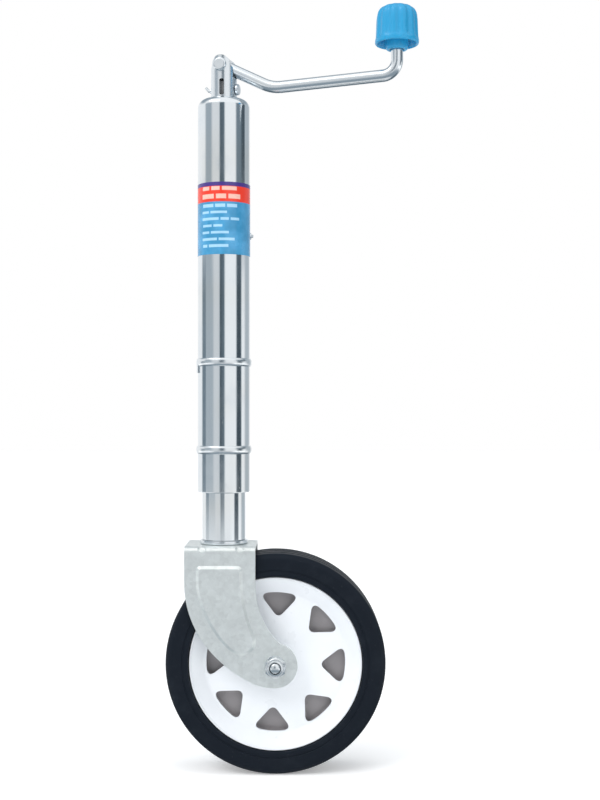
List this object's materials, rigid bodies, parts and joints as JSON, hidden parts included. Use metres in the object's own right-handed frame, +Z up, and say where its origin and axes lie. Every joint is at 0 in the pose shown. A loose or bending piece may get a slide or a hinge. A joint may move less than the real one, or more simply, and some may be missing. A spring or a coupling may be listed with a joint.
{
  "type": "trailer tongue jack",
  "caption": "Clamp-type trailer jack: a tube with a folding crank on top winds a lead screw that raises and lowers a swivelling forked wheel.",
  "frame": {"origin": "on the axis of the 48 mm outer tube, midway between the two clamp rings", "axes": "+Z up along the tube, towards the crank; +X towards the side to which the wheel trails and the crank points; -Y towards the side that shows the axle nut"},
  "size_m": [0.228, 0.101, 0.6903],
  "materials": {
    "bright_zinc": "bright zinc plate, clear passivated, glossy with faint drawing lines",
    "dull_zinc": "matt galvanised pressed steel with faint mottling",
    "greased_steel": "bare machined steel under grease",
    "white_paint": "gloss white powder coat",
    "grey_primer": "grey paint on the wheel's web, in shade behind its holes",
    "rubber": "matt solid rubber, blue-black",
    "nylon": "natural moulded nylon",
    "bronze": "machined bronze, greased",
    "blue_plastic": "moulded sky blue plastic, fine texture",
    "label_film": "printed film with plain colour bands"
  },
  "bodies": {
    "housing": {"outer_tube": "bright_zinc", "upper_clamp_ring": "bright_zinc", "lower_clamp_ring": "bright_zinc", "label": "label_film", "grease_nipple": "bright_zinc", "thrust_plate": "dull_zinc", "bearing_race": "greased_steel", "guide_bush": "nylon", "guide_pin": "dull_zinc"},
    "spindle": {"lead_screw": "greased_steel", "thrust_washer": "bronze", "dust_washer": "bright_zinc", "clevis": "bright_zinc", "pivot_pin": "bright_zinc", "cross_pin": "bright_zinc"},
    "crank": {"crank_rod": "bright_zinc", "knob_clip": "greased_steel"},
    "grip": {"knob": "blue_plastic"},
    "leg": {"inner_tube": "bright_zinc", "lead_nut": "bronze", "end_plug": "dull_zinc", "kingpin": "dull_zinc", "kingpin_nut": "dull_zinc"},
    "carrier": {"fork": "dull_zinc", "swivel_washer": "bright_zinc", "under_washer": "bright_zinc", "axle_bolt": "bright_zinc", "axle_nut": "bright_zinc", "axle_washer_front": "bright_zinc", "axle_washer_rear": "bright_zinc", "axle_sleeve": "greased_steel"},
    "wheel": {"tyre": "rubber", "rim_front": "white_paint", "rim_rear": "white_paint", "rim_core": "grey_primer", "hub_tube": "white_paint", "hub_bush_front": "nylon", "hub_bush_rear": "nylon"}
  },
  "joints": [
    {"name": "crank_turn", "type": "hinge", "parent": "housing", "child": "spindle", "pos_m": [0, 0, 0], "axis": [0, 0, 1], "range_deg": [-11400, 2400]},
    {"name": "lift", "type": "slide", "parent": "housing", "child": "leg", "axis": [0, 0, 1], "range_m": [-0.1901, 0.0401]},
    {"name": "crank_fold", "type": "hinge", "parent": "spindle", "child": "crank", "pos_m": [0, 0, 0.3125], "axis": [-0.2588, -0.9659, 0], "range_deg": [0, 225]},
    {"name": "knob_spin", "type": "hinge", "parent": "crank", "child": "grip", "pos_m": [0.15638, -0.0419, 0.32], "axis": [0, 0, 1], "continuous": true},
    {"name": "swivel", "type": "hinge", "parent": "leg", "child": "carrier", "pos_m": [0, 0, -0.12], "axis": [0, 0, 1], "continuous": true},
    {"name": "wheel_spin", "type": "hinge", "parent": "carrier", "child": "wheel", "pos_m": [0.048, 0, -0.2335], "axis": [0, 1, 0], "continuous": true}
  ],
  "couplings": [
    {"joint": "lift", "follows": "crank_turn", "m_per_rad": 0.00095493}
  ]
}
